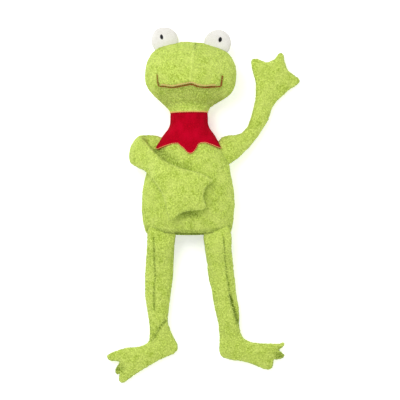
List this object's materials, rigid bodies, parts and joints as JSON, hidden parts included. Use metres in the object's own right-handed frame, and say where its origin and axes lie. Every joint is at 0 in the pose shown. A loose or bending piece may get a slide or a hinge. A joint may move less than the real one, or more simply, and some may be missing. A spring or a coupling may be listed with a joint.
{
  "type": "hand puppet",
  "caption": "Terry-cloth frog hand puppet lying on its back, with a lined hand opening at the hem, a finger pocket in the head, and limp filled arms and legs with forked hands and feet.",
  "frame": {"origin": "on the flat of the back, under the middle of the body, in the plane that the puppet lies on", "axes": "+Z out of the belly, up when the puppet lies on its back; +Y towards the head; +X towards the puppet's left side"},
  "size_m": [0.2412, 0.4454, 0.0795],
  "materials": {
    "green_terry": "matte looped pile",
    "red_cloth": "matte fleece",
    "white_cloth": "matte brushed cloth",
    "lining_cloth": "matte plain weave",
    "fibre_filling": "matte loose fibre",
    "black_thread": "satin embroidery",
    "brown_thread": "satin embroidery"
  },
  "bodies": {
    "torso": {"body_front_left": "green_terry", "body_front_right": "green_terry", "body_back": "green_terry", "hem_band": "green_terry", "body_lining": "lining_cloth", "yoke_front": "red_cloth", "yoke_back": "red_cloth"},
    "neck": {"neck_sleeve": "red_cloth", "neck_lining": "lining_cloth"},
    "head": {"face_left": "green_terry", "face_right": "green_terry", "chin_panel": "green_terry", "head_back": "green_terry", "head_filling": "fibre_filling", "finger_pocket": "lining_cloth", "mouth_stitching": "brown_thread", "left_eye": "white_cloth", "left_eye_filling": "fibre_filling", "left_pupil": "black_thread", "right_eye": "white_cloth", "right_eye_filling": "fibre_filling", "right_pupil": "black_thread"},
    "left_upper_arm": {"left_upper_arm_cover": "green_terry", "left_upper_arm_filling": "fibre_filling"},
    "left_forearm": {"left_forearm_cover": "green_terry", "left_forearm_filling": "fibre_filling"},
    "left_hand": {"left_hand_front": "green_terry", "left_hand_back": "green_terry", "left_hand_filling": "fibre_filling"},
    "left_thigh": {"left_thigh_cover": "green_terry", "left_thigh_filling": "fibre_filling"},
    "left_shin": {"left_shin_cover": "green_terry", "left_shin_filling": "fibre_filling"},
    "left_foot": {"left_foot_top": "green_terry", "left_foot_sole": "green_terry", "left_foot_filling": "fibre_filling"},
    "right_upper_arm": {"right_upper_arm_cover": "green_terry", "right_upper_arm_filling": "fibre_filling"},
    "right_forearm": {"right_forearm_cover": "green_terry", "right_forearm_filling": "fibre_filling"},
    "right_hand": {"right_hand_front": "green_terry", "right_hand_back": "green_terry", "right_hand_filling": "fibre_filling"},
    "right_thigh": {"right_thigh_cover": "green_terry", "right_thigh_filling": "fibre_filling"},
    "right_shin": {"right_shin_cover": "green_terry", "right_shin_filling": "fibre_filling"},
    "right_foot": {"right_foot_top": "green_terry", "right_foot_sole": "green_terry", "right_foot_filling": "fibre_filling"}
  },
  "joints": [
    {"name": "neck_nod", "type": "hinge", "parent": "torso", "child": "neck", "pos_m": [-0.00125, 0.085, 0.024], "axis": [1, 0, 0], "range_deg": [-15, 45], "deforming": ["neck_sleeve", "neck_lining"]},
    {"name": "head_turn", "type": "hinge", "parent": "neck", "child": "head", "pos_m": [-0.00125, 0.097, 0.024], "axis": [0.0471, 0.9989, 0], "range_deg": [-40, 40]},
    {"name": "left_shoulder_swing", "type": "hinge", "parent": "torso", "child": "left_upper_arm", "pos_m": [0.0445, 0.0505, 0.024], "axis": [0, 0, 1], "range_deg": [-45, 10]},
    {"name": "left_elbow_bend", "type": "hinge", "parent": "left_upper_arm", "child": "left_forearm", "pos_m": [0.071, 0.0675, 0.015], "axis": [0, 0, -1], "range_deg": [-10, 50]},
    {"name": "left_wrist_bend", "type": "hinge", "parent": "left_forearm", "child": "left_hand", "pos_m": [0.0925, 0.105, 0.0085], "axis": [0.9292, -0.3697, 0], "range_deg": [-30, 50]},
    {"name": "right_shoulder_swing", "type": "hinge", "parent": "torso", "child": "right_upper_arm", "pos_m": [-0.0435, 0.051, 0.024], "axis": [0, 0, -1], "range_deg": [-8, 45]},
    {"name": "right_elbow_unfold", "type": "hinge", "parent": "right_upper_arm", "child": "right_forearm", "pos_m": [-0.071, 0.048, 0.025], "axis": [-0.3159, -0.9488, 0], "range_deg": [0, 130]},
    {"name": "right_wrist_bend", "type": "hinge", "parent": "right_forearm", "child": "right_hand", "pos_m": [-0.0385, 0.0215, 0.067], "axis": [-0.6816, -0.7317, 0], "range_deg": [0, 60]},
    {"name": "left_hip_lift", "type": "hinge", "parent": "torso", "child": "left_thigh", "pos_m": [0.034, -0.057, 0.038], "axis": [-1, 0, 0], "range_deg": [-10, 75]},
    {"name": "left_knee_bend", "type": "hinge", "parent": "left_thigh", "child": "left_shin", "pos_m": [0.0395, -0.1105, 0.013], "axis": [-1, 0, 0], "range_deg": [-15, 35]},
    {"name": "left_ankle_bend", "type": "hinge", "parent": "left_shin", "child": "left_foot", "pos_m": [0.0495, -0.166, 0.011], "axis": [-1, 0, 0], "range_deg": [-20, 40]},
    {"name": "right_hip_lift", "type": "hinge", "parent": "torso", "child": "right_thigh", "pos_m": [-0.036, -0.057, 0.038], "axis": [-1, 0, 0], "range_deg": [-10, 75]},
    {"name": "right_knee_bend", "type": "hinge", "parent": "right_thigh", "child": "right_shin", "pos_m": [-0.0387, -0.1105, 0.013], "axis": [-1, 0, 0], "range_deg": [-15, 35]},
    {"name": "right_ankle_bend", "type": "hinge", "parent": "right_shin", "child": "right_foot", "pos_m": [-0.0415, -0.1645, 0.011], "axis": [-1, 0, 0], "range_deg": [-20, 40]}
  ]
}
